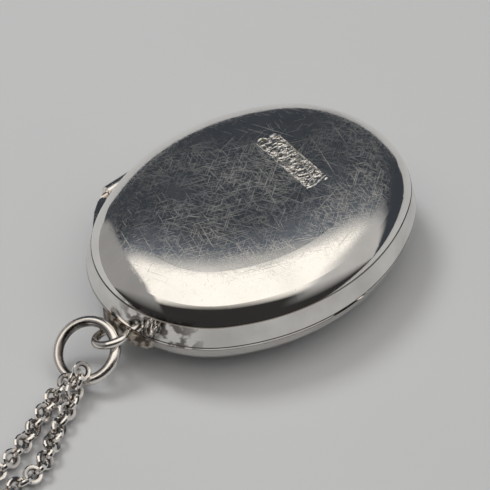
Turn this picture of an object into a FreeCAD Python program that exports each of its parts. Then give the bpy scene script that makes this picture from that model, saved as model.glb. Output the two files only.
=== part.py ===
import FreeCAD, Part
import math
import os

# Oval silver locket on a doubled chain, millimetres.
# The front half lies face down, so its crown is at the bottom and the back half is uppermost.
# +X runs from the bail to the toe, +Y to the hinge, +Z up. The origin is the middle of the
# small flat on the front crown, which is what the locket rests on.
V = FreeCAD.Vector
Z_AXIS = V(0, 0, 1)

# ---- driving dimensions -------------------------------------------------------------------
half_length = 19.0
half_width = 14.8
end_radius = 13.0  # radius of the oval's end arcs
sheet = 0.45  # shell metal
lid_gap = 0.03  # between the closed halves
fit_gap = 0.05  # between a moving surface and its seat

back_foot = (0.0, lid_gap)  # (inset from the oval, height over the parting plane)
back_wall_top = (0.56, 2.32)
back_seam = (0.70, 2.41)  # the fine groove round the dome
back_dome_start = (0.62, 2.50)
back_tilts = (66, 38, 10, 0)  # slope in degrees where one dome arc meets the next
back_radii = (4.4, 7.6, 30.0)

front_wall_top = (0.12, 0.30)
front_dome_start = (0.62, 1.75)
front_tilts = (64, 38, 10, 0)
front_radii = (4.0, 8.4, 32.0)

bezel_lip = 0.30  # height of the lip that shows between the halves
bezel_out, bezel_in = 0.82, 1.12  # insets of the upright band
bezel_up, bezel_down = 0.60, 0.95

notch_radius, notch_depth, notch_height = 9.0, 0.55, 0.55

hinge_y = 14.7
knuckle_radius = 0.75
pin_radius = 0.35
knuckle_length = 3.04
knuckle_count = 5
knuckle_gap = 0.05  # end play between two knuckles
strip_reach = 1.15  # how far up or down the wall the strip behind the knuckles goes

frame_width = 1.35
window_thick = 0.28
card_thick = 0.22

bail_loop_radius, bail_wire = 1.80, 0.90
jump_radius, jump_wire = 3.20, 1.15
jump_tilt, jump_azimuth = 31.5, 188.0

chain_diameter = 2.0
coil_centre = V(-57.0, -16.5, 0)
coil_mean_radius = 10.5
coil_levels = 3

clasp_radius, clasp_tube, clasp_bore = 2.4, 0.60, 0.36
bolt_radius = 0.30
bolt_travel = 50.0

# ---- the oval ------------------------------------------------------------------------------
side_radius = (half_width**2 + half_length**2 - 2 * half_length * end_radius) / (
    2 * (half_width - end_radius)
)
end_centre = half_length - end_radius
side_centre = side_radius - half_width
join_angle = math.degrees(math.atan2(side_centre, end_centre))


def sectors():
    """The oval's four arcs: centre, radius, start angle and sweep in degrees."""
    side = 180 - 2 * join_angle
    return [
        (V(end_centre, 0, 0), end_radius, -join_angle, 2 * join_angle),
        (V(0, -side_centre, 0), side_radius, join_angle, side),
        (V(-end_centre, 0, 0), end_radius, 180 - join_angle, 2 * join_angle),
        (V(0, side_centre, 0), side_radius, 180 + join_angle, side),
    ]


def on_circle(centre, radius, angle):
    a = math.radians(angle)
    return centre + V(radius * math.cos(a), radius * math.sin(a), 0)


def oval_face(inset, z):
    edges = []
    for centre, radius, start, sweep in sectors():
        points = [on_circle(centre, radius - inset, start + sweep * k / 2) for k in range(3)]
        edges.append(Part.Arc(*points).toShape())
    face = Part.Face(Part.Wire(edges))
    face.translate(V(0, 0, z))
    return face


def oval_prism(inset, z0, z1):
    return oval_face(inset, z0).extrude(V(0, 0, z1 - z0))


def oval_band(outer, inner, z0, z1):
    return oval_prism(outer, z0, z1).cut(oval_prism(inner, z0, z1))


def swept_round(outline):
    """A closed outline of (inset, z) lines and arcs, taken round the oval."""
    parts = []
    for centre, radius, start, sweep in sectors():
        face = Part.Face(Part.Wire([edge(lambda p: V(radius - p[0], 0, p[1])) for edge in outline]))
        face.rotate(V(0, 0, 0), Z_AXIS, start)
        face.translate(centre)
        parts.append(face.revolve(centre, Z_AXIS, sweep))
    return joined(parts)


def line(a, b):
    return lambda place: Part.LineSegment(place(a), place(b)).toShape()


def arc(a, middle, b):
    return lambda place: Part.Arc(place(a), place(middle), place(b)).toShape()


def polygon(points):
    return [line(a, b) for a, b in zip(points, points[1:] + points[:1])]


def joined(parts):
    whole = parts[0].multiFuse(parts[1:]) if len(parts) > 1 else parts[0]
    return whole.removeSplitter()


# ---- domes ---------------------------------------------------------------------------------
def dome_points(start, tilts, radii, offset):
    """Start, middle and end of each dome arc, offset inwards, as (inset, height)."""
    found = []
    d, h = start
    for (t0, t1), r in zip(zip(tilts, tilts[1:]), radii):
        a0, a1 = math.radians(t0), math.radians(t1)
        centre = (d + r * math.sin(a0), h - r * math.cos(a0))
        angles = (a0, (a0 + a1) / 2, a1)
        inner = r - offset
        found.append([(centre[0] - inner * math.sin(a), centre[1] + inner * math.cos(a)) for a in angles])
        d = centre[0] - r * math.sin(a1)
        h = centre[1] + r * math.cos(a1)
    return found, d, h


def height_map(z0, up):
    return lambda p: (p[0], z0 + up * p[1])


def shell_outline(wall, start, tilts, radii, wall_inner, place):
    """Section of a shell: its wall's points, its dome, and the same lines one sheet inside."""
    outer, _, _ = dome_points(start, tilts, radii, 0)
    inner, _, _ = dome_points(start, tilts, radii, sheet)
    edges = [line(place(a), place(b)) for a, b in zip(wall, wall[1:])]
    edges += [arc(*(place(p) for p in three)) for three in outer]
    edges.append(line(place(outer[-1][2]), place(inner[-1][2])))
    edges += [arc(*(place(p) for p in reversed(three))) for three in reversed(inner)]
    edges.append(line(place(inner[0][0]), place(wall_inner)))
    edges.append(line(place(wall_inner), place(wall[0])))
    return edges


def block_outline(wall, start, tilts, radii, place):
    """The solid out to the shell's outer faces, from its wall to the edge of the crown flat."""
    outer, flat, _ = dome_points(start, tilts, radii, 0)
    edges = [line(place(a), place(b)) for a, b in zip(wall, wall[1:])]
    edges += [arc(*(place(p) for p in three)) for three in outer]
    edges.append(line(place(outer[-1][2]), place((flat, wall[0][1]))))
    edges.append(line(place((flat, wall[0][1])), place(wall[0])))
    return edges


back_wall = [back_foot, back_wall_top, back_seam, back_dome_start]
front_wall = [front_wall_top, front_dome_start]
_, back_flat, back_height = dome_points(back_dome_start, back_tilts, back_radii, 0)
_, front_flat, front_height = dome_points(front_dome_start, front_tilts, front_radii, 0)
parting_z = front_height
crown_z = parting_z + back_height
to_back = height_map(parting_z, 1)
to_front = height_map(parting_z, -1)


def back_block():
    ring = swept_round(block_outline(back_wall, back_dome_start, back_tilts, back_radii, to_back))
    return joined([ring, oval_prism(back_flat, parting_z + lid_gap, crown_z)])


def front_block():
    ring = swept_round(block_outline(front_wall, front_dome_start, front_tilts, front_radii, to_front))
    return joined([ring, oval_prism(front_flat, 0, parting_z - front_wall_top[1])])


# ---- stamped panel -------------------------------------------------------------------------
panel_centre = V(5.9, 0.3, 0)
panel_turn = -5.0
panel_length, panel_width = 9.0, 2.6
panel_depth, mark_depth = 0.17, 0.02
mark_spread = 0.36
marks_in_row = 7


def rounded_bar_wire(length, width, z):
    """The outline of a bar along Y with round ends."""
    r = width / 2
    y = length / 2 - r
    edges = [
        Part.LineSegment(V(r, -y, z), V(r, y, z)).toShape(),
        Part.Arc(V(r, y, z), V(0, y + r, z), V(-r, y, z)).toShape(),
        Part.LineSegment(V(-r, y, z), V(-r, -y, z)).toShape(),
        Part.Arc(V(-r, -y, z), V(0, -y - r, z), V(r, -y, z)).toShape(),
    ]
    return Part.Wire(edges)


def rounded_bar(length, width, z0, z1, spread=0.0):
    """A bar with round ends whose foot is wider than its top by spread all round."""
    foot = rounded_bar_wire(length + 2 * spread, width + 2 * spread, z0)
    return Part.makeLoft([foot, rounded_bar_wire(length, width, z1)], True)


def bar_mark(z0, z1):
    return rounded_bar(0.62, 0.10, z0, z1, mark_spread)


def ring_mark(z0, z1):
    outside = Part.makeCone(0.36 + mark_spread, 0.36, z1 - z0, V(0, 0, z0))
    return outside.cut(Part.makeCone(0.02, 0.22, z1 - z0, V(0, 0, z0)))


def chevron_mark(z0, z1):
    arms = []
    for side in (-1, 1):
        arm = rounded_bar(0.60, 0.08, z0, z1, mark_spread)
        arm.rotate(V(0, 0, 0), Z_AXIS, 90 + side * 32)
        arm.translate(V(0, side * 0.20, 0))
        arms.append(arm)
    return arms[0].fuse(arms[1])


def placed_on_panel(shape, x, y):
    shape.translate(V(x, y, 0))
    shape.rotate(V(0, 0, 0), Z_AXIS, panel_turn)
    shape.translate(panel_centre)
    return shape


def panel_cut_and_marks(block):
    """The recess to take out of the back, and the raised marks that stand in it."""
    z0, z1 = crown_z - 0.62, crown_z + 0.06
    floor = block.copy()
    floor.translate(V(0, 0, -panel_depth))
    tops = block.copy()
    tops.translate(V(0, 0, -mark_depth))
    # The recess is two rows of bars wide, with the scalloped edge that a worn punch leaves.
    recess = placed_on_panel(rounded_bar(panel_length, panel_width / 2 + 0.1, z0, z1), -panel_width / 4, 0.2)
    recess = recess.fuse(
        placed_on_panel(rounded_bar(panel_length - 1.1, panel_width / 2 + 0.1, z0, z1), panel_width / 4, 0.1)
    )
    shapes = (bar_mark, chevron_mark, ring_mark)
    marks = []
    pitch = (panel_length - 1.2) / marks_in_row
    for row in range(2):
        for k in range(marks_in_row - row):
            mark = shapes[(k + 2 * row) % 3](z0, z1)
            y = (k - (marks_in_row - 1) / 2) * pitch + (0.5 * pitch + 0.1) * row
            marks.append(placed_on_panel(mark, (row - 0.5) * panel_width / 2, y))
    raised = marks[0].multiFuse(marks[1:]).common(tops).cut(floor)
    return recess.cut(floor), raised


# ---- hinge ---------------------------------------------------------------------------------
def along_x(radius, x0, x1):
    return Part.makeCylinder(radius, x1 - x0, V(x0, hinge_y, parting_z), V(1, 0, 0))


def knuckles():
    """Index and X range of each knuckle; the even ones are the front half's."""
    start = -knuckle_count * knuckle_length / 2
    return [
        (k, start + k * knuckle_length, start + (k + 1) * knuckle_length) for k in range(knuckle_count)
    ]


def hinge_room(own):
    """What a half loses to the barrel: a snug seat for its own knuckles, air for the others."""
    cuts = []
    for k, x0, x1 in knuckles():
        snug = k % 2 == own
        reach = knuckle_radius if snug else knuckle_radius + 1.4 * fit_gap
        spare = 0 if snug else fit_gap
        cuts.append(along_x(reach, x0 - spare, x1 + spare))
    return joined(cuts)


def hinge_strip(own, block):
    """The strip along the wall that joins one half's knuckles and is soldered to the shell."""
    mine = [ends for ends in knuckles() if ends[0] % 2 == own]
    x0, x1 = mine[0][1] + knuckle_gap / 2, mine[-1][2] - knuckle_gap / 2
    z0 = parting_z + (0.45 if own else -strip_reach)
    box = Part.makeBox(x1 - x0, 1.0, strip_reach - 0.45, V(x0, hinge_y - 1.0, z0))
    return box.cut(block).cut(hinge_room(own))


def hinge_tubes(own, bore):
    tubes = []
    for k, x0, x1 in knuckles():
        if k % 2 == own:
            x0 += knuckle_gap / 2
            x1 -= knuckle_gap / 2
            tubes.append(along_x(knuckle_radius, x0, x1).cut(along_x(bore, x0 - 1, x1 + 1)))
    return tubes


def hinge_wing(side, block):
    """The thin tapered strip that carries an outer knuckle down to the front rim."""
    outer_edge = [(5.9, 14.5), (7.55, 15.15), (8.6, 14.75), (10.4, 13.45), (12.6, 11.25)]
    outline = [(5.9, 13.2)] + outer_edge + [(11.2, 10.6)]
    points = [V(side * x, y, parting_z - 0.72) for x, y in outline]
    plate = Part.Face(Part.makePolygon(points + points[:1])).extrude(V(0, 0, 0.66))
    return plate.cut(block).cut(along_x(pin_radius, -9, 9))


# ---- bent wire -----------------------------------------------------------------------------
def ring_at(centre, radius, wire, tilt, azimuth):
    """A round ring whose axis leans by tilt from +Z towards azimuth."""
    t, a = math.radians(tilt), math.radians(azimuth)
    axis = V(math.sin(t) * math.cos(a), math.sin(t) * math.sin(a), math.cos(t))
    return Part.makeTorus(radius, wire / 2, centre, axis)


def routed_tube(points, diameter, name):
    """A tube along straight runs, with at each corner the largest arc that its runs allow."""
    edges = []
    last = points[0]
    radii = []
    for before, corner, after in zip(points, points[1:], points[2:]):
        u = (before - corner).normalize()
        w = (after - corner).normalize()
        turn = math.pi - u.getAngle(w)
        back = 0.45 * min((before - corner).Length, (after - corner).Length)
        radius = back / math.tan(turn / 2)
        radii.append(radius)
        a, b = corner + u * back, corner + w * back
        centre = corner + (u + w).normalize() * (radius / math.cos(turn / 2))
        middle = centre + (corner - centre).normalize() * radius
        edges.append(Part.LineSegment(last, a).toShape())
        edges.append(Part.Arc(a, middle, b).toShape())
        last = b
    edges.append(Part.LineSegment(last, points[-1]).toShape())
    path = Part.Wire(edges)
    section = Part.Wire([Part.makeCircle(diameter / 2, points[0], points[1] - points[0])])
    tube = path.makePipeShell([section], True, True)
    expected = math.pi * (diameter / 2) ** 2 * path.Length
    print(name, "length", round(path.Length, 1), "smallest radius", round(min(radii), 1))
    print(name, "volume over section times length", round(tube.Volume / expected, 4))
    return tube


# ---- build ---------------------------------------------------------------------------------
def save(name, shape):
    solids = shape.Solids
    whole = solids[0] if len(solids) == 1 else Part.makeCompound(solids)
    whole.exportStep("parts/" + name + ".step")
    b = whole.BoundBox
    size = "%.2f %.2f %.2f" % (b.XLength, b.YLength, b.ZLength)
    print(name, "solids", len(solids), "valid", whole.isValid(), "size", size, "low", round(b.ZMin, 3))


def nail_notch():
    y = -(half_width - notch_depth) - notch_radius
    return Part.makeCylinder(notch_radius, notch_height + 0.2, V(0, y, parting_z - notch_height))


def make_back_half():
    block = back_block()
    wall_inner = (back_foot[0] + sheet + 0.07, lid_gap)
    outline = shell_outline(back_wall, back_dome_start, back_tilts, back_radii, wall_inner, to_back)
    recess, raised = panel_cut_and_marks(block)
    shell = joined([swept_round(outline), oval_prism(back_flat, crown_z - sheet, crown_z)])
    shell = shell.cut(recess).fuse(raised).cut(hinge_room(1))
    save("back_shell", shell)
    save("back_hinge_leaf", joined(hinge_tubes(1, pin_radius + 0.6 * fit_gap) + [hinge_strip(1, block)]))
    save_insert("back", 1, parting_z + 0.80, 0.90)


def save_insert(half, up, seat_z, outer):
    """Frame, clear window and blank card, stacked from seat_z towards the crown of that half."""
    place = height_map(seat_z, up)
    inner = outer + frame_width
    ledge = outer + 0.40
    depth = 0.20 + window_thick + card_thick + 0.10
    points = [(outer, 0), (inner, 0), (inner, 0.20), (ledge, 0.20), (ledge, depth), (outer, depth)]
    save(half + "_frame", swept_round(polygon([place(p) for p in points])))
    low, high = 0.20, 0.20 + window_thick
    save(half + "_window", oval_prism(ledge + 0.02, *sorted((seat_z + up * low, seat_z + up * high))))
    low, high = high, high + card_thick
    save(half + "_photo", oval_prism(ledge + 0.02, *sorted((seat_z + up * low, seat_z + up * high))))


def make_front_half():
    block = front_block()
    wall_inner = (front_wall_top[0] + sheet, front_wall_top[1])
    outline = shell_outline(front_wall, front_dome_start, front_tilts, front_radii, wall_inner, to_front)
    room = hinge_room(0)
    shell = joined([swept_round(outline), oval_prism(front_flat, 0, sheet)])
    shell = shell.cut(room).cut(nail_notch())
    save("front_shell", shell)

    section = [(0, 0), (bezel_out, 0), (bezel_out, bezel_up - 0.12), (bezel_out + 0.10, bezel_up)]
    section += [(bezel_in, bezel_up), (bezel_in, -bezel_down), (bezel_out, -bezel_down)]
    section += [(bezel_out, -bezel_lip), (0, -bezel_lip)]
    bezel = swept_round(polygon([to_back(p) for p in section]))
    bezel = bezel.cut(room).cut(nail_notch())
    save("snap_bezel", bezel)

    rim = oval_prism(0, parting_z - bezel_lip, parting_z)
    seat = block.fuse(rim)
    wings = [hinge_wing(side, seat) for side in (-1, 1)]
    save("front_hinge_leaf", joined(hinge_tubes(0, pin_radius) + wings + [hinge_strip(0, seat)]))
    half_barrel = knuckle_count * knuckle_length / 2
    save("hinge_pin", along_x(pin_radius, -half_barrel - 0.08, half_barrel + 0.08))
    save_insert("front", -1, parting_z - 0.12, bezel_in + 0.02)
    make_bail(seat)


def make_bail(seat):
    bail_side = [(-17.0, 3.2), (-18.75, 2.5), (-19.2, 1.2), (-19.32, -0.7)]
    outline = bail_side + [(-19.15, -2.6), (-18.4, -4.0), (-16.6, -4.6)]
    low, high = parting_z - 1.75, parting_z - bezel_lip
    points = [V(x, y, low) for x, y in outline]
    foot = Part.Face(Part.makePolygon(points + points[:1])).extrude(V(0, 0, high - low))
    foot = foot.cut(seat)
    loop = ring_at(V(-20.4, -0.7, parting_z - 1.0), bail_loop_radius, bail_wire, 26.0, 90.0)
    save("bail_foot", foot)
    save("bail_loop", max(loop.cut(seat).cut(foot).Solids, key=lambda s: s.Volume))


jump_centre = V(-22.8, 0.45, 2.95)
jump_seam_side = 137.0  # where the ends of the ring meet, in degrees round from its uphill point
jump_seam = 0.10


def jump_directions():
    """The ring's downhill direction in its own plane, and the level one across it."""
    t, a = math.radians(jump_tilt), math.radians(jump_azimuth)
    downhill = V(math.cos(t) * math.cos(a), math.cos(t) * math.sin(a), -math.sin(t))
    return downhill, V(-math.sin(a), math.cos(a), 0)


def make_jump_ring():
    downhill, across = jump_directions()
    ring = ring_at(jump_centre, jump_radius, jump_wire, jump_tilt, jump_azimuth)
    turn = math.radians(jump_seam_side)
    outward = across * math.sin(turn) - downhill * math.cos(turn)
    along = outward.cross(downhill.cross(across))
    saw = Part.makeCylinder(jump_wire, jump_seam, jump_centre + outward * jump_radius, along)
    save("jump_ring", ring.cut(saw))


def make_chain():
    downhill, across = jump_directions()
    turn = math.radians(12)
    place = jump_centre + (downhill * math.cos(turn) + across * math.sin(turn)) * jump_radius
    tangent = across * math.cos(turn) - downhill * math.sin(turn)
    save("chain_bight", Part.makeTorus(1.02, 0.25, place, tangent))

    # Each strand is wound in a column of its own, the two columns side by side.
    wide = coil_mean_radius + chain_diameter
    thin = coil_mean_radius - chain_diameter
    tall = coil_levels * chain_diameter
    coil = Part.makeCylinder(wide, tall, coil_centre).cut(Part.makeCylinder(thin, tall, coil_centre))
    save("chain_coil", coil)
    for name, points in (("chain_left", left_route), ("chain_right", right_route)):
        tube = routed_tube([V(*p) for p in points], chain_diameter, name)
        save(name, max(tube.cut(coil).Solids, key=lambda s: s.Volume))
    return tall


# The two strands from beside the jump ring to the coil, lying on the table.
left_route = [
    (-27.9, -0.5, 1.0),
    (-29.8, -1.35, 1.0),
    (-31.9, -2.2, 1.0),
    (-34.1, -3.2, 1.0),
    (-36.4, -4.1, 1.0),
    (-39.5, -4.7, 1.0),
    (-43.6, -4.7, 1.0),
    (-48.4, -4.9, 1.0),
    (-53.0, -4.9, 1.0),
]
right_route = [
    (-28.0, -2.9, 1.0),
    (-30.2, -3.9, 1.0),
    (-32.0, -5.0, 1.0),
    (-33.8, -6.3, 1.0),
    (-35.8, -7.2, 1.0),
    (-38.2, -7.3, 1.0),
    (-41.4, -7.1, 1.0),
    (-45.6, -7.1, 1.0),
    (-49.6, -7.0, 1.0),
]


# ---- clasp ---------------------------------------------------------------------------------
clasp_angle = 118.0  # where on the coil the clasp lies
clasp_turn = clasp_angle - 90.0  # the clasp's own 0 degrees points out along the coil's strand
clasp_from_centre = 9.3
mouth = (95.0, 140.0)  # between these angles the clasp ring is open
bolt_span = (42.0, 144.0)
thumb_angle = 80.0
eye_side = 0.0
end_ring_side = 270.0
eye_radius, eye_wire = 0.85, 0.50
end_ring_radius, end_ring_wire = 1.25, 0.60


def curved_rod(centre, radius, section, start, end):
    """A round rod bent round centre, from angle start to end."""
    circle = Part.Face(Part.Wire([Part.makeCircle(section, centre + V(radius, 0, 0), V(0, 1, 0))]))
    circle.rotate(centre, Z_AXIS, start)
    return circle.revolve(centre, Z_AXIS, end - start)


def thumb_tab(centre):
    tab = Part.makeBox(1.05, 0.36, 0.40, centre + V(clasp_radius, -0.18, -0.20))
    tab.rotate(centre, Z_AXIS, thumb_angle + clasp_turn)
    return tab


def thumb_slot(centre):
    """The slot in the outer wall that the thumb tab slides along."""
    disc = Part.makeCylinder(clasp_radius + 1, 0.52, centre - V(0, 0, 0.26))
    disc = disc.cut(Part.makeCylinder(clasp_radius, 0.52, centre - V(0, 0, 0.26)))
    start = thumb_angle + clasp_turn - bolt_travel - 8
    return disc.common(curved_rod(centre, clasp_radius + 0.5, 0.9, start, start + bolt_travel + 16))


def make_clasp(coil_top):
    centre = on_circle(coil_centre, clasp_from_centre, clasp_angle) + V(0, 0, coil_top + clasp_tube)
    body = curved_rod(centre, clasp_radius, clasp_tube, mouth[1] + clasp_turn, mouth[0] + clasp_turn + 360)
    start = bolt_span[0] + clasp_turn
    end = bolt_span[1] + clasp_turn
    hollow = curved_rod(centre, clasp_radius, clasp_bore, start - bolt_travel - 4, end + 2)
    save("clasp_ring", body.cut(hollow).cut(thumb_slot(centre)))
    bolt = curved_rod(centre, clasp_radius, bolt_radius, start, end)
    save("clasp_bolt", bolt.fuse(thumb_tab(centre)).removeSplitter())

    eye_from = clasp_radius + clasp_tube + eye_radius - eye_wire / 2
    eye_centre = on_circle(centre, eye_from, eye_side + clasp_turn)
    eye = Part.makeTorus(eye_radius, eye_wire / 2, eye_centre, Z_AXIS).cut(body)
    save("clasp_eye", max(eye.Solids, key=lambda s: s.Volume))
    link_centre = on_circle(centre, clasp_radius + 0.2, end_ring_side + clasp_turn) - V(0, 0, 0.2)
    a = math.radians(end_ring_side + clasp_turn + 90)
    link = Part.makeTorus(end_ring_radius, end_ring_wire / 2, link_centre, V(math.cos(a), math.sin(a), 0))
    save("end_ring", link)


os.makedirs("parts", exist_ok=True)
make_front_half()
make_back_half()
make_jump_ring()
make_clasp(make_chain())
print("parting height", round(parting_z, 3), "crown", round(crown_z, 3))
print("insets of the flats", round(front_flat, 2), round(back_flat, 2))
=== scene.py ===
"""Looks of the oval locket: silver, chain links, table and soft studio light, in metres."""

import math

import bmesh
import bpy
from mathutils import Matrix, Vector


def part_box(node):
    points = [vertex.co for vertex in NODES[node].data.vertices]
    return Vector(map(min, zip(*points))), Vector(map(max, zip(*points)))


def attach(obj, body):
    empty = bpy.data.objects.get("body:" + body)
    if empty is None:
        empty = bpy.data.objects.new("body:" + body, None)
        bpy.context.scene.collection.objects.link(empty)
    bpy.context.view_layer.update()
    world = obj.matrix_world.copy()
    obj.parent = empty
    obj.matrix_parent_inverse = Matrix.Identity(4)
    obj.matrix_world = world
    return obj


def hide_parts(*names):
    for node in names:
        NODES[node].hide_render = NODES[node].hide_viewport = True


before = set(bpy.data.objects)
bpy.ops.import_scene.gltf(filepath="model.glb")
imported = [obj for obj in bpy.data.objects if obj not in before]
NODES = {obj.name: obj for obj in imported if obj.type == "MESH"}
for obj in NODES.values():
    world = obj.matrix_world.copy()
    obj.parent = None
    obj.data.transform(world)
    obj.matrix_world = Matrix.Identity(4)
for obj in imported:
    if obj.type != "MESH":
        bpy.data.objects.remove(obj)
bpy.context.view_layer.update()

MM = 0.001
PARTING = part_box("snap_bezel")[1][2] - 0.60 * MM  # height of the seam between the halves
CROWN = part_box("back_shell")[1][2]

# ---- camera ---------------------------------------------------------------------------------
VIEW_TURN = math.radians(42.9)  # the camera looks this far round from +Y towards +X
VIEW_DOWN = math.radians(45.1)
VIEW_DISTANCE = 0.3219
LENS, SENSOR = 220.4, 36.0  # focal length and sensor width, in mm
VIEW_TARGET = Vector((1.476, 2.764, 0.0)) * MM
FAR = Vector((math.sin(VIEW_TURN), math.cos(VIEW_TURN), 0.0))
RIGHT = Vector((math.cos(VIEW_TURN), -math.sin(VIEW_TURN), 0.0))
LOOK = FAR * math.cos(VIEW_DOWN) - Vector((0, 0, math.sin(VIEW_DOWN)))

camera_data = bpy.data.cameras.new("camera")
camera_data.lens = LENS
camera_data.sensor_width = SENSOR
camera_data.clip_start = 0.01
camera = bpy.data.objects.new("camera", camera_data)
camera.location = VIEW_TARGET - LOOK * VIEW_DISTANCE
camera.rotation_euler = LOOK.to_track_quat("-Z", "Y").to_euler()
bpy.context.scene.collection.objects.link(camera)
bpy.context.scene.camera = camera


# ---- chain routes ---------------------------------------------------------------------------
CHAIN = 2.0  # diameter of the space a chain takes, in mm
COIL_CENTRE = (-57.0, -16.5)
LEFT_COLUMN = 11.5  # radius of each strand's turns
RIGHT_COLUMN = 9.5
LEFT_WOUND = (92.0, 1085.0)  # the angles where each strand's turns begin and end
RIGHT_WOUND = (95.0, 1068.0)
POINTS_PER_TURN = 15
CLIMB_END = 45.0  # the turns of both columns climb to the next level up to this angle
CLIMB = 40.0

LEFT_ROUTE = [
    (-26.3, -0.35, 1.35),
    (-27.9, -0.5, 1.0),
    (-29.8, -1.35, 1.0),
    (-31.9, -2.2, 1.0),
    (-34.1, -3.2, 1.0),
    (-36.4, -4.1, 1.0),
    (-39.5, -4.7, 1.0),
    (-43.6, -4.7, 1.0),
    (-48.4, -4.9, 1.0),
    (-53.0, -4.9, 1.0),
]
RIGHT_ROUTE = [
    (-25.0, -1.3, 2.9),
    (-26.4, -2.0, 2.2),
    (-28.0, -2.9, 1.2),
    (-30.2, -3.9, 1.0),
    (-32.0, -5.0, 1.0),
    (-33.8, -6.3, 1.0),
    (-35.8, -7.2, 1.0),
    (-38.2, -7.3, 1.0),
    (-41.4, -7.1, 1.0),
    (-45.6, -7.1, 1.0),
    (-49.6, -7.0, 1.0),
    (-53.5, -7.0, 1.0),
]
# How each strand leaves its column for its fitting: angle, radius and height.
LEFT_END = [(1103, 11.4, 5.7), (1120, 11.0, 6.6), (1138, 10.6, 6.9), (1154, 10.3, 6.9), (1168, 10.1, 6.8)]
RIGHT_END = [(1090, 8.9, 5.0), (1112, 7.9, 5.0), (1135, 7.1, 4.9), (1160, 6.6, 4.8), (1182, 6.2, 4.9)]


def coil_level(angle):
    """Height of a coiled strand: flat turns, each with a short climb at the same place."""
    turn, rest = divmod(angle - CLIMB_END, 360.0)
    climbed = min(max((rest - 360.0 + CLIMB) / CLIMB, 0.0), 1.0)
    return (0.5 + turn + climbed) * CHAIN


def on_coil(angle, radius, height):
    a = math.radians(angle)
    return (COIL_CENTRE[0] + radius * math.cos(a), COIL_CENTRE[1] + radius * math.sin(a), height)


def coil_points(radius, start, end):
    steps = round((end - start) / 360.0 * POINTS_PER_TURN)
    angles = [start + (end - start) * k / steps for k in range(steps + 1)]
    return [on_coil(a, radius, coil_level(a)) for a in angles]


def spline_points(name, points):
    """The points, in metres, of the smooth curve with those control points, in millimetres."""
    curve = bpy.data.curves.new(name, "CURVE")
    curve.dimensions = "3D"
    curve.resolution_u = 12
    spline = curve.splines.new("NURBS")
    spline.points.add(len(points) - 1)
    for point, place in zip(spline.points, points):
        point.co = (*(c * MM for c in place), 1.0)
    spline.order_u = 3
    spline.use_endpoint_u = True
    holder = bpy.data.objects.new(name, curve)
    bpy.context.scene.collection.objects.link(holder)
    bpy.context.view_layer.update()
    mesh = bpy.data.meshes.new_from_object(holder)
    line = [v.co.copy() for v in mesh.vertices]
    bpy.data.objects.remove(holder)
    bpy.data.curves.remove(curve)
    bpy.data.meshes.remove(mesh)
    return line


def evenly(line, pitch):
    """Places and directions along a line at an even spacing near the pitch."""
    lengths = [(b - a).length for a, b in zip(line, line[1:])]
    total = sum(lengths)
    count = round(total / pitch)
    places = []
    k, passed = 0, 0.0
    for n in range(count + 1):
        wanted = min(total * n / count, total - 1e-9)
        while k < len(lengths) - 1 and passed + lengths[k] < wanted:
            passed += lengths[k]
            k += 1
        a, b = line[k], line[k + 1]
        places.append((a.lerp(b, (wanted - passed) / lengths[k]), (b - a).normalized()))
    return places, total


# ---- chain links ----------------------------------------------------------------------------
LINK_PITCH = 1.12 * MM
LINK_LENGTH = 2.10 * MM  # outside, along the chain
LINK_WIDTH = 2.06 * MM
LINK_WIRE = 0.52 * MM
LINK_AROUND = 20
LINK_TURN = math.radians(42.0)  # each link leans this far from upright, left and right in turn
# The wire's outline: out from the link's middle, up from its plane, and how dark it is painted, from tarnish
# and from painted shade on the wire's inner side where the links lie in each other.
WIRE_OUTLINE = [
    (0.50, 0.24, 0.0),
    (0.26, 0.50, 0.0),
    (-0.30, 0.44, 0.5),
    (-0.50, 0.12, 1.0),
    (-0.50, -0.12, 1.0),
    (-0.30, -0.44, 0.5),
    (0.26, -0.50, 0.0),
    (0.50, -0.24, 0.0),
]


def link_loop(bm, matrix):
    """One link: an oval of faceted wire, its flat cut sides facing out."""
    tarnish_and_crevice_shade = bm.verts.layers.float.get("tarnish_and_crevice_shade") or bm.verts.layers.float.new("tarnish_and_crevice_shade")
    half_x = (LINK_LENGTH - LINK_WIRE) / 2
    half_y = (LINK_WIDTH - LINK_WIRE) / 2
    rings = []
    for k in range(LINK_AROUND):
        a = 2 * math.pi * k / LINK_AROUND
        middle = Vector((half_x * math.cos(a), half_y * math.sin(a), 0))
        out = Vector((math.cos(a) * half_y, math.sin(a) * half_x, 0)).normalized()
        ring = []
        for u, w, dark in WIRE_OUTLINE:
            vert = bm.verts.new(matrix @ (middle + out * (u * LINK_WIRE) + Vector((0, 0, w * LINK_WIRE))))
            # The inner side of the wire is marked for tarnish and painted shade.
            vert[tarnish_and_crevice_shade] = dark
            ring.append(vert)
        rings.append(ring)
    for ring, after in zip(rings, rings[1:] + rings[:1]):
        for j in range(len(WIRE_OUTLINE)):
            i = (j + 1) % len(WIRE_OUTLINE)
            bm.faces.new((ring[j], ring[i], after[i], after[j]))


def basis(place, along, lean):
    """A frame at place with X along the chain and its link's plane leaning about X."""
    side = Vector((0, 0, 1)).cross(along).normalized()
    up = along.cross(side)
    across = side * math.cos(lean) + up * math.sin(lean)
    normal = along.cross(across)
    return Matrix.Translation(place) @ Matrix((along, across, normal)).transposed().to_4x4()


def mesh_object(name, bm):
    bmesh.ops.recalc_face_normals(bm, faces=bm.faces)
    mesh = bpy.data.meshes.new(name)
    bm.to_mesh(mesh)
    bm.free()
    piece = bpy.data.objects.new(name, mesh)
    bpy.context.scene.collection.objects.link(piece)
    return piece


def chain(name, points):
    line = spline_points(name, points)
    places, total = evenly(line, LINK_PITCH)
    bm = bmesh.new()
    for k, (place, along) in enumerate(places):
        wobble = 0.16 * math.sin(1.7 * k) + 0.10 * math.sin(0.61 * k + 1.0)
        link_loop(bm, basis(place, along, (LINK_TURN if k % 2 else -LINK_TURN) + wobble))
    piece = mesh_object(name, bm)
    return piece, line, total


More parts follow.
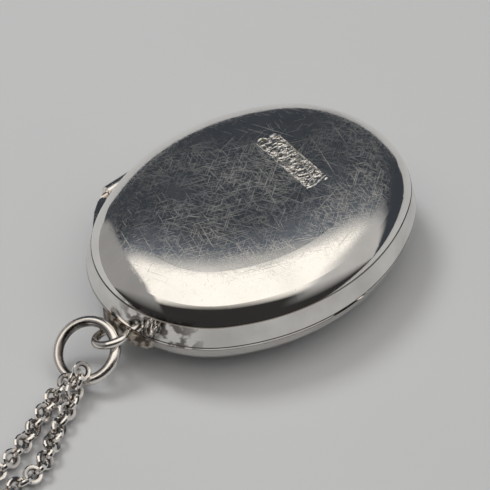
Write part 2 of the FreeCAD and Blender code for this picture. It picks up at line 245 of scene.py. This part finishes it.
left_points = LEFT_ROUTE + coil_points(LEFT_COLUMN, *LEFT_WOUND) + [on_coil(*end) for end in LEFT_END]
right_points = RIGHT_ROUTE + coil_points(RIGHT_COLUMN, *RIGHT_WOUND) + [on_coil(*end) for end in RIGHT_END]
left_chain, left_line, left_length = chain("chain_left_links", left_points)
right_chain, right_line, right_length = chain("chain_right_links", right_points)

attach(left_chain, "front")
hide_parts("chain_left", "chain_coil")
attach(right_chain, "front")
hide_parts("chain_right", "chain_coil")


# ---- shader helpers -------------------------------------------------------------------------
MIX_A, MIX_B, MIX_RESULT = 6, 7, 2  # the Mix node's sockets for colours


class Shader:
    """A material's node tree, with short calls for the nodes that the finishes are made of."""

    def __init__(self, name):
        self.material = bpy.data.materials.new(name)
        self.material.use_nodes = True
        self.nodes = self.material.node_tree.nodes
        self.links = self.material.node_tree.links
        self.bsdf = self.nodes["Principled BSDF"]
        self.place = self.node("ShaderNodeTexCoord").outputs["Object"]

    def node(self, kind, inputs=None, **settings):
        made = self.nodes.new(kind)
        for key, value in settings.items():
            setattr(made, key, value)
        for key, value in (inputs or {}).items():
            self.feed(made.inputs[key], value)
        return made

    def feed(self, socket, value):
        if isinstance(value, bpy.types.NodeSocket):
            self.links.new(value, socket)
        else:
            socket.default_value = value

    def math(self, operation, *values):
        made = self.node("ShaderNodeMath", operation=operation)
        for socket, value in zip(made.inputs, values):
            self.feed(socket, value)
        return made.outputs[0]

    def clamp_range(self, value, low, high, to_low=0.0, to_high=1.0):
        """Take low to high smoothly to to_low to to_high, and stay there past either end."""
        made = self.node("ShaderNodeMapRange", interpolation_type="SMOOTHSTEP")
        names = ("Value", "From Min", "From Max", "To Min", "To Max")
        for key, item in zip(names, (value, low, high, to_low, to_high)):
            self.feed(made.inputs[key], item)
        return made.outputs["Result"]

    def noise(self, per_mm, detail=3.0, stretch=(1, 1, 1), turn=0.0, shift=0.0):
        """Noise with that many cells to a millimetre, stretched along turned axes."""
        turned = self.node("ShaderNodeMapping", {"Vector": self.place, "Rotation": (0, 0, turn)}).outputs[0]
        scaled = self.node(
            "ShaderNodeMapping",
            {
                "Vector": turned,
                "Location": (shift, 0.7 * shift, 1.3 * shift),
                "Scale": tuple(per_mm / MM * c for c in stretch),
            },
        ).outputs[0]
        return self.node("ShaderNodeTexNoise", {"Vector": scaled, "Scale": 1.0, "Detail": detail}).outputs[0]

    def mix(self, factor, a, b):
        made = self.node("ShaderNodeMix", data_type="RGBA")
        self.feed(made.inputs["Factor"], factor)
        self.feed(made.inputs[MIX_A], a)
        self.feed(made.inputs[MIX_B], b)
        return made.outputs[MIX_RESULT]

    def bump(self, height, distance, strength=1.0, normal=None):
        made = self.node("ShaderNodeBump", {"Height": height, "Distance": distance, "Strength": strength})
        if normal is not None:
            self.feed(made.inputs["Normal"], normal)
        return made.outputs[0]

    def finish(self, **inputs):
        for key, value in inputs.items():
            self.feed(self.bsdf.inputs[key.replace("_", " ")], value)
        return self.material


# ---- silver ---------------------------------------------------------------------------------
# The brown-black of old silver, also the colour of the painted shade on the case and the ring.
TARNISH_AND_SHADE = (0.045, 0.034, 0.028, 1)  # the brown-black of old silver
SCRATCH_EDGE = 0.05  # how much the noise rises from a scratch's edge to its middle
PANEL_CENTRE = (5.9, 0.3)  # the stamped panel on the back, in mm
PANEL_TURN = math.radians(-5.0)
PANEL_HALF = (1.35, 4.35)
PANEL_EDGE = 0.1
JUMP_RADIUS = 3.2


def place_part(shader, axis):
    return shader.node("ShaderNodeSeparateXYZ", {"Vector": shader.place}).outputs[axis]


def scratches(shader, layers, threshold, along=0.22, across=9.0):
    """How scratched a place is: thin straight marks in several directions, from 0 to 1."""
    found = 0.0
    for k in range(layers):
        turn = math.radians(24.0 + 180.0 * k / layers + 17.0 * math.sin(3.0 * k))
        marks = shader.noise(1.0, 1.0, (along, across, 3.0), turn, 3.7 * k + 1.1)
        marks = shader.clamp_range(marks, threshold, threshold + SCRATCH_EDGE)
        found = shader.math("MAXIMUM", found, marks)
    return found


def wear_marks(shader, wear, dome_only):
    """Fine scratches where it is rubbed most, and some long ones, from 0 to about 1."""
    fine = scratches(shader, 8, 0.650, along=0.38, across=13.0)
    long_marks = scratches(shader, 4, 0.69, along=0.09, across=10.0)
    patches = shader.noise(0.10, 2.0, shift=4.0)
    rubbed = shader.clamp_range(patches, 0.34, 0.62, 0.90 * wear, 0.45 * wear)
    fine = shader.math("MULTIPLY", fine, rubbed)
    marks = shader.math("MAXIMUM", fine, shader.math("MULTIPLY", long_marks, wear))
    if dome_only:
        height = place_part(shader, "Z")
        on_top = shader.clamp_range(height, CROWN - 2.2 * MM, CROWN - 0.7 * MM, 0.12, 1.0)
        marks = shader.math("MULTIPLY", marks, on_top)
    return marks


def band(shader, height, half_width, softness):
    """1 within half_width of a height, in millimetres over the parting line."""
    away = shader.math("ABSOLUTE", shader.math("SUBTRACT", place_part(shader, "Z"), PARTING + height * MM))
    return shader.clamp_range(away, half_width * MM, (half_width + softness) * MM, 1.0, 0.0)


def bail_end_grime_and_shadow(shader):
    """Brown-black grime and painted shadow on the near side of the wall beside the bail, from 0 to 1."""
    towards_bail = shader.clamp_range(place_part(shader, "X"), -13.5 * MM, -17.0 * MM)
    near_side = shader.clamp_range(place_part(shader, "Y"), 2.0 * MM, -2.5 * MM)
    on_wall = band(shader, 1.1, 1.3, 0.8)
    patchy = shader.clamp_range(shader.noise(0.9, 4.0, shift=2.0), 0.42, 0.60)
    where = shader.math("MULTIPLY", shader.math("MULTIPLY", towards_bail, near_side), on_wall)
    return shader.math("MULTIPLY", where, patchy)


def inner_stain_and_shade(shader, centre):
    """Tarnish and painted shade on the inner side of the jump ring's wire, from 0 to 1."""
    away = shader.node("ShaderNodeVectorMath", {0: shader.place, 1: tuple(centre)}, operation="DISTANCE")
    inside = shader.clamp_range(away.outputs["Value"], (JUMP_RADIUS + 0.05) * MM, (JUMP_RADIUS - 0.30) * MM)
    return shader.math("MULTIPLY", inside, shader.clamp_range(shader.noise(0.8, 3.0), 0.25, 0.55, 0.6, 1.0))


def stamped_panel(shader):
    """1 on the stamped panel, where the punch left the silver uneven, and 0 round it."""
    centre = (*(c * MM for c in PANEL_CENTRE), 0)
    moved = shader.node("ShaderNodeVectorMath", {0: shader.place, 1: centre}, operation="SUBTRACT")
    turned = shader.node("ShaderNodeMapping", {"Vector": moved.outputs[0], "Rotation": (0, 0, -PANEL_TURN)})
    parts = shader.node("ShaderNodeSeparateXYZ", {"Vector": turned.outputs[0]}).outputs
    inside = shader.clamp_range(parts["Z"], CROWN - 1.2 * MM, CROWN - 0.8 * MM)
    for axis, half in zip("XY", PANEL_HALF):
        away = shader.math("ABSOLUTE", parts[axis])
        within = shader.clamp_range(away, (half + PANEL_EDGE) * MM, (half - PANEL_EDGE) * MM)
        inside = shader.math("MULTIPLY", inside, within)
    return inside


def tarnish_and_painted_shade(shader, pits, cloudy, seams, grime_and_shadow, ring_centre):
    """How dark a place is painted: tarnish in pits, dark seam and crease lines, grime and painted shadow
    beside the bail, painted shade on the wall band and tarnish with painted shade on a ring's inner side.
    """
    layers = [shader.math("MULTIPLY", pits, 0.35)]
    for height, half_width, softness, amount in seams:
        layers.append(shader.math("MULTIPLY", band(shader, height, half_width, softness), amount))
    if grime_and_shadow:
        # Grime and painted shadow on the wall beside the bail.
        layers.append(shader.math("MULTIPLY", bail_end_grime_and_shadow(shader), grime_and_shadow))
        # Painted shade: a patchy darker band on the wall round the seam, for the dark near side and floor
        # shadow that the wall mirrors.
        patches = shader.clamp_range(cloudy, 0.2, 0.7, 0.25, 0.55)
        painted_wall_shade = shader.math("MULTIPLY", band(shader, 1.0, 1.35, 0.25), patches)
        layers.append(shader.math("MULTIPLY", painted_wall_shade, 0.45))
    if ring_centre is not None:
        # The jump ring's inner side: tarnish and painted shade.
        layers.append(shader.math("MULTIPLY", inner_stain_and_shade(shader, ring_centre), 0.85))
    darkest = layers[0]
    for layer in layers[1:]:
        darkest = shader.math("MAXIMUM", darkest, layer)
    return darkest


def silver(name, rough, wear, tint=(0.93, 0.91, 0.88), seams=(), grime_and_shadow=0.0, ring_centre=None, panel=False):
    """Worn polished silver. With panel it is the case's, scratched on the dome and stamped."""
    shader = Shader(name)
    marks = wear_marks(shader, wear, panel)
    cloudy = shader.noise(0.22, 4.0)
    pits = shader.clamp_range(shader.noise(2.4, 2.0), 0.73, 0.80)
    haze = shader.clamp_range(cloudy, 0.35, 0.75, 0.0, 0.03 * wear)
    roughness = shader.math("ADD", shader.math("MULTIPLY", marks, 0.46), shader.math("ADD", haze, rough))
    depth = shader.math("SUBTRACT", 0.0, shader.math("ADD", marks, pits))
    normal = shader.bump(depth, 0.003 * MM, 0.5 * wear)
    if panel:
        stamped = stamped_panel(shader)
        roughness = shader.math("ADD", roughness, shader.math("MULTIPLY", stamped, 0.04))
        strokes = shader.clamp_range(shader.noise(1.0, 1.0, (0.9, 2.1, 1.0), shift=9.0), 0.40, 0.60)
        normal = shader.bump(shader.math("MULTIPLY", strokes, stamped), 0.13 * MM, 1.0, normal)
    normal = shader.bump(shader.noise(0.35, 2.0), 0.012 * MM, 0.25, normal)
    dull = tuple(0.90 * c for c in tint)
    colour = shader.mix(shader.clamp_range(cloudy, 0.3, 0.7), (*tint, 1), (*dull, 1))
    colour = shader.mix(tarnish_and_painted_shade(shader, pits, cloudy, seams, grime_and_shadow, ring_centre), colour, TARNISH_AND_SHADE)
    return shader.finish(Metallic=1.0, Base_Color=colour, Roughness=roughness, Normal=normal)


def link_silver():
    """Polished links with tarnish and painted shade on the inner side of the wire."""
    shader = Shader("link_silver")
    dark = shader.node("ShaderNodeAttribute", attribute_name="tarnish_and_crevice_shade").outputs["Fac"]
    # Tarnish and painted shade on the inner side of each link, in patches.
    stained_and_shaded = shader.math("MULTIPLY", dark, shader.clamp_range(shader.noise(1.4, 3.0), 0.25, 0.60, 0.45, 1.0))
    colour = shader.mix(stained_and_shaded, (0.86, 0.83, 0.80, 1), (0.075, 0.055, 0.048, 1))
    roughness = shader.math("ADD", 0.07, shader.math("MULTIPLY", stained_and_shaded, 0.25))
    normal = shader.bump(shader.noise(2.5, 2.0), 0.02 * MM, 0.35)
    return shader.finish(Metallic=1.0, Base_Color=colour, Roughness=roughness, Normal=normal)


def paint(piece, material):
    """Give a piece, or the CAD node of that name, its only material."""
    if isinstance(piece, str):
        piece = NODES[piece]
    piece.data.materials.clear()
    piece.data.materials.append(material)


# A seam is its height over the parting line, its half width, its softness and its darkness.
case_silver = silver(
    "case_silver",
    rough=0.025,
    wear=1.0,
    seams=[(2.41, 0.05, 0.10, 0.92), (0.05, 0.04, 0.06, 0.95), (-0.31, 0.04, 0.08, 0.9)],
    grime_and_shadow=0.85,
    panel=True,
)
wire_silver = silver("wire_silver", rough=0.08, wear=0.5, tint=(0.88, 0.84, 0.80))
jump_silver = silver(
    "jump_silver",
    rough=0.07,
    wear=0.5,
    tint=(0.90, 0.86, 0.82),
    ring_centre=(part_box("jump_ring")[0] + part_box("jump_ring")[1]) / 2,
)
inner_silver = silver("inner_silver", rough=0.16, wear=0.3)
chain_silver = link_silver()


def solder():
    """The rough, darkened solder of the bail's foot."""
    shader = Shader("solder")
    grains = shader.noise(3.0, 3.0)
    dark = shader.clamp_range(shader.noise(1.1, 3.0, shift=5.0), 0.38, 0.62)
    colour = shader.mix(dark, (0.11, 0.085, 0.07, 1), (0.62, 0.57, 0.50, 1))
    roughness = shader.clamp_range(grains, 0.3, 0.7, 0.30, 0.62)
    normal = shader.bump(grains, 0.12 * MM, 0.9)
    return shader.finish(Metallic=1.0, Base_Color=colour, Roughness=roughness, Normal=normal)


def clear_plastic():
    """A clear sheet: it lets most light through and keeps a faint gloss."""
    shader = Shader("clear_plastic")
    marks = scratches(shader, 3, 0.72)
    roughness = shader.math("ADD", 0.04, shader.math("MULTIPLY", marks, 0.2))
    return shader.finish(Base_Color=(0.93, 0.95, 0.95, 1), Roughness=roughness, IOR=1.49, Alpha=0.16)


def card():
    """Blank aged card."""
    shader = Shader("card")
    fibres = shader.noise(1.5, 5.0, (1, 3, 1), 0.4)
    aged = shader.noise(0.12, 3.0)
    colour = shader.mix(aged, (0.86, 0.82, 0.72, 1), (0.76, 0.70, 0.58, 1))
    normal = shader.bump(fibres, 0.02 * MM, 0.5)
    return shader.finish(Base_Color=colour, Roughness=0.85, Normal=normal)


for name in ("back_shell", "front_shell", "snap_bezel"):
    paint(name, case_silver)
for name in ("front_hinge_leaf", "back_hinge_leaf", "hinge_pin"):
    paint(name, wire_silver)
paint("jump_ring", jump_silver)
for name in ("bail_loop", "clasp_ring", "clasp_eye", "clasp_bolt", "end_ring"):
    paint(name, wire_silver)
for name in ("front_frame", "back_frame"):
    paint(name, inner_silver)
for piece in (left_chain, right_chain, NODES["chain_bight"]):
    paint(piece, chain_silver)
paint("bail_foot", solder())
clear = clear_plastic()
paper = card()
for half in ("front", "back"):
    paint(half + "_window", clear)
    paint(half + "_photo", paper)

# ---- table and light ------------------------------------------------------------------------
TABLE_SIZE = 1.6
TABLE_GAP = 0.02 * MM  # keeps the table's face off the crown that rests on it
LAMP_SIZE, LAMP_ENERGY, LAMP_DISTANCE = 0.32, 2.2, 0.9
LAMP_SIDE = (FAR * 0.40 - RIGHT * 0.42 + Vector((0, 0, 1.0))).normalized()
bpy.context.scene.view_settings.view_transform = "Standard"


def table():
    bm = bmesh.new()
    bmesh.ops.create_grid(bm, x_segments=8, y_segments=8, size=TABLE_SIZE / 2)
    bmesh.ops.translate(bm, verts=bm.verts, vec=(0, 0, -TABLE_GAP))
    top = mesh_object("table", bm)
    shader = Shader("table")
    shade = shader.mix(shader.noise(0.02, 2.0), (0.645, 0.663, 0.692, 1), (0.690, 0.707, 0.737, 1))
    paint(top, shader.finish(Base_Color=shade, Roughness=0.6, Specular_IOR_Level=0.2))


table()


def soft_light():
    """A large soft lamp high up, behind and to the left, which the silver doesn't mirror."""
    lamp = bpy.data.lights.new("soft_lamp", "AREA")
    lamp.shape = "DISK"
    lamp.size = LAMP_SIZE
    lamp.energy = LAMP_ENERGY
    lamp.color = (1.0, 0.985, 0.96)
    holder = bpy.data.objects.new("soft_lamp", lamp)
    holder.location = LAMP_SIDE * LAMP_DISTANCE
    holder.rotation_euler = LAMP_SIDE.to_track_quat("Z", "Y").to_euler()
    holder.visible_glossy = False
    bpy.context.scene.collection.objects.link(holder)


soft_light()

# The studio that the silver mirrors: a dark backdrop on the far side, one softbox overhead, a grey
# card at each side and a dark near side. Angles run in degrees from the far horizon over the top.
BACKDROP = (0.042, 0.048, 0.057)
SOFTBOX = (1.12, 1.07, 0.99)
SIDE_CARD = (0.30, 0.295, 0.29)
NEAR_SIDE = (0.030, 0.029, 0.028)
BACKDROP_TOP, CARD_EDGE, NEAR_EDGE = 45, 60, 160
SOFTBOX_FROM, SOFTBOX_TO, SOFTBOX_BLUR = 71, 118, 14

ROOM_MIDDLE = [
    (BACKDROP_TOP, BACKDROP),
    (SOFTBOX_FROM - SOFTBOX_BLUR, tuple(3 * c for c in BACKDROP)),
    (SOFTBOX_FROM, SOFTBOX),
    (SOFTBOX_TO, SOFTBOX),
    (SOFTBOX_TO + SOFTBOX_BLUR, NEAR_SIDE),
]
RIGHT_CARD = tuple(1.6 * c for c in SIDE_CARD)  # the right card stands nearer and is brighter
ROOM_LEFT = [(SOFTBOX_TO, SIDE_CARD), (NEAR_EDGE, NEAR_SIDE)]
ROOM_RIGHT = [
    (BACKDROP_TOP, BACKDROP),
    (CARD_EDGE, RIGHT_CARD),
    (SOFTBOX_TO, RIGHT_CARD),
    (NEAR_EDGE, NEAR_SIDE),
]
# How far to the left and right the cards take over, as the sideways part of a direction.
LEFT_EDGE = (-0.60, -0.66)
RIGHT_EDGE = (0.60, 0.76)


def room():
    """The world: the middle, left and right strips, each a ramp over the top of the scene."""
    world = bpy.data.worlds.new("room")
    bpy.context.scene.world = world
    world.use_nodes = True
    tree = world.node_tree
    tree.nodes.clear()

    def add(kind, **settings):
        made = tree.nodes.new(kind)
        for key, value in settings.items():
            setattr(made, key, value)
        return made

    def join(output, socket):
        tree.links.new(output, socket)

    direction = add("ShaderNodeTexCoord").outputs["Generated"]

    def part_along(axis):
        made = add("ShaderNodeVectorMath", operation="DOT_PRODUCT")
        join(direction, made.inputs[0])
        made.inputs[1].default_value = axis
        return made.outputs["Value"]

    turned = add("ShaderNodeMath", operation="ARCTAN2")
    join(part_along((0, 0, 1)), turned.inputs[0])
    join(part_along(FAR), turned.inputs[1])
    over = add("ShaderNodeMath", operation="DIVIDE")
    join(turned.outputs[0], over.inputs[0])
    over.inputs[1].default_value = math.pi

    def ramp(stops):
        made = add("ShaderNodeValToRGB")
        join(over.outputs[0], made.inputs["Fac"])
        elements = made.color_ramp.elements
        elements.remove(elements[1])
        for k, (degrees, colour) in enumerate(stops):
            stop = elements[0] if k == 0 else elements.new(degrees / 180.0)
            stop.position = degrees / 180.0
            stop.color = (*colour, 1.0)
        return made.outputs["Color"]

    def beside(below, above, edge):
        """One picture inside the edge and another outside it, going sideways."""
        share = add("ShaderNodeMapRange", interpolation_type="SMOOTHSTEP")
        join(part_along(RIGHT), share.inputs["Value"])
        share.inputs["From Min"].default_value = edge[0]
        share.inputs["From Max"].default_value = edge[1]
        mixed = add("ShaderNodeMix", data_type="RGBA")
        join(share.outputs["Result"], mixed.inputs["Factor"])
        join(below, mixed.inputs[MIX_A])
        join(above, mixed.inputs[MIX_B])
        return mixed.outputs[MIX_RESULT]

    picture = beside(ramp(ROOM_MIDDLE), ramp(ROOM_LEFT), LEFT_EDGE)
    picture = beside(picture, ramp(ROOM_RIGHT), RIGHT_EDGE)
    background = add("ShaderNodeBackground")
    join(picture, background.inputs["Color"])
    join(background.outputs[0], add("ShaderNodeOutputWorld").inputs[0])


room()
